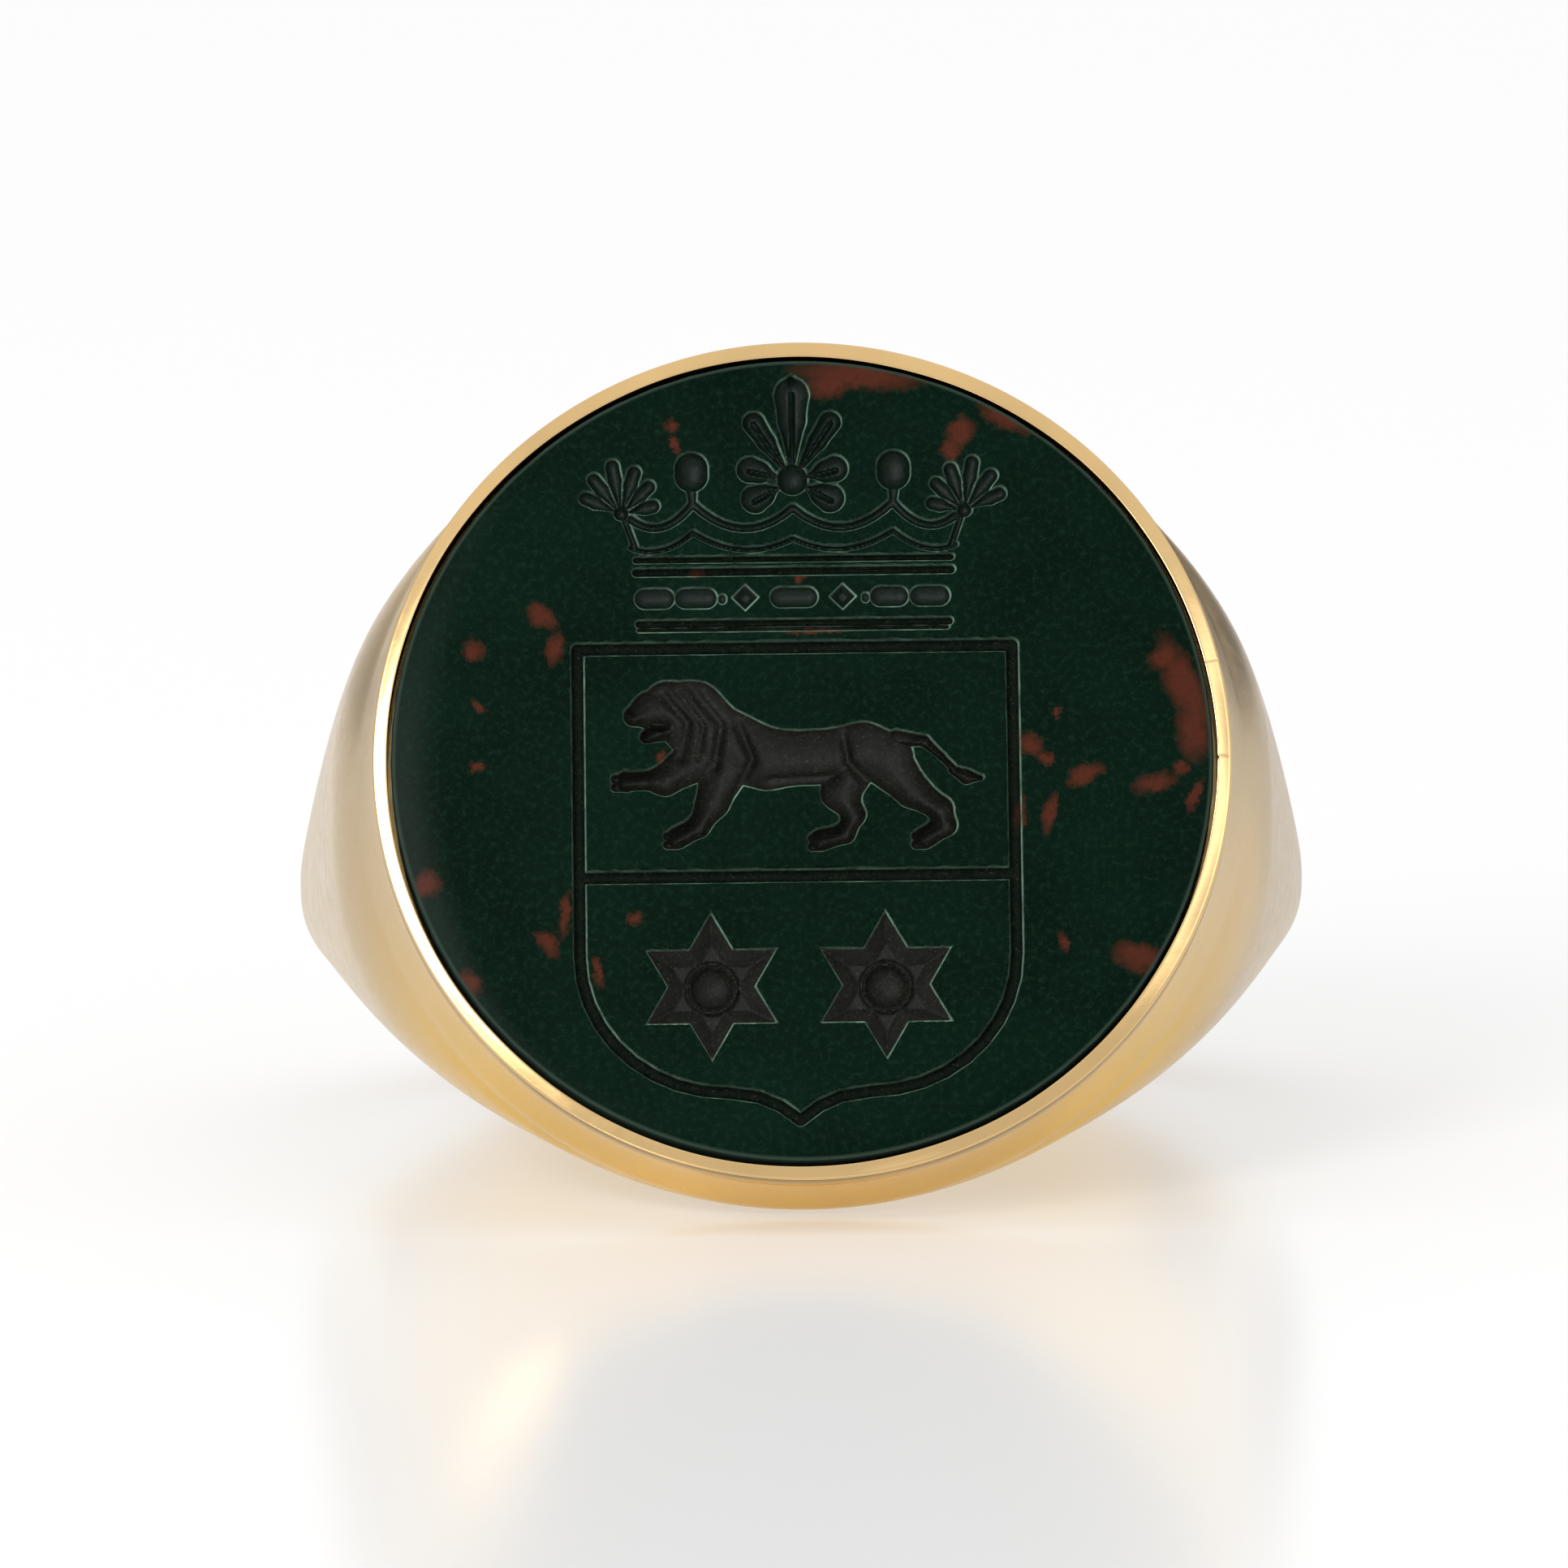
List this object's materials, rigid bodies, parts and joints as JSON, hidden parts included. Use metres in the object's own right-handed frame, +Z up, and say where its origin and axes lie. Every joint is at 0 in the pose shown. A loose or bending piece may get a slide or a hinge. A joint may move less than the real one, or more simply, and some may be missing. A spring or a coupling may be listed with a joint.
{
  "type": "signet ring",
  "caption": "Gold signet ring with a round flat bloodstone seal, engraved below the surface, in a narrow rim on a shouldered head with a tapering half-round hoop.",
  "frame": {"origin": "centre of the finger hole", "axes": "+Z up as the ring lies at rest on a table; the seal faces -Y and is tipped up by 21.4 degrees; +X to the right when the seal is looked at; the finger hole runs along (0, 0.366, 0.931)"},
  "size_m": [0.0216, 0.024, 0.0179],
  "materials": {
    "gold": "satin-polished 18 carat yellow gold",
    "rim_gold": "polished 18 carat yellow gold",
    "cement": "matt setting cement",
    "bloodstone": "polished bloodstone, matt where it is engraved"
  },
  "bodies": {
    "root": {"shank": "gold", "head": "gold", "bezel_collar": "rim_gold", "bearer_ring": "gold", "stone_bedding": "cement", "seal_stone": "bloodstone"}
  },
  "joints": []
}
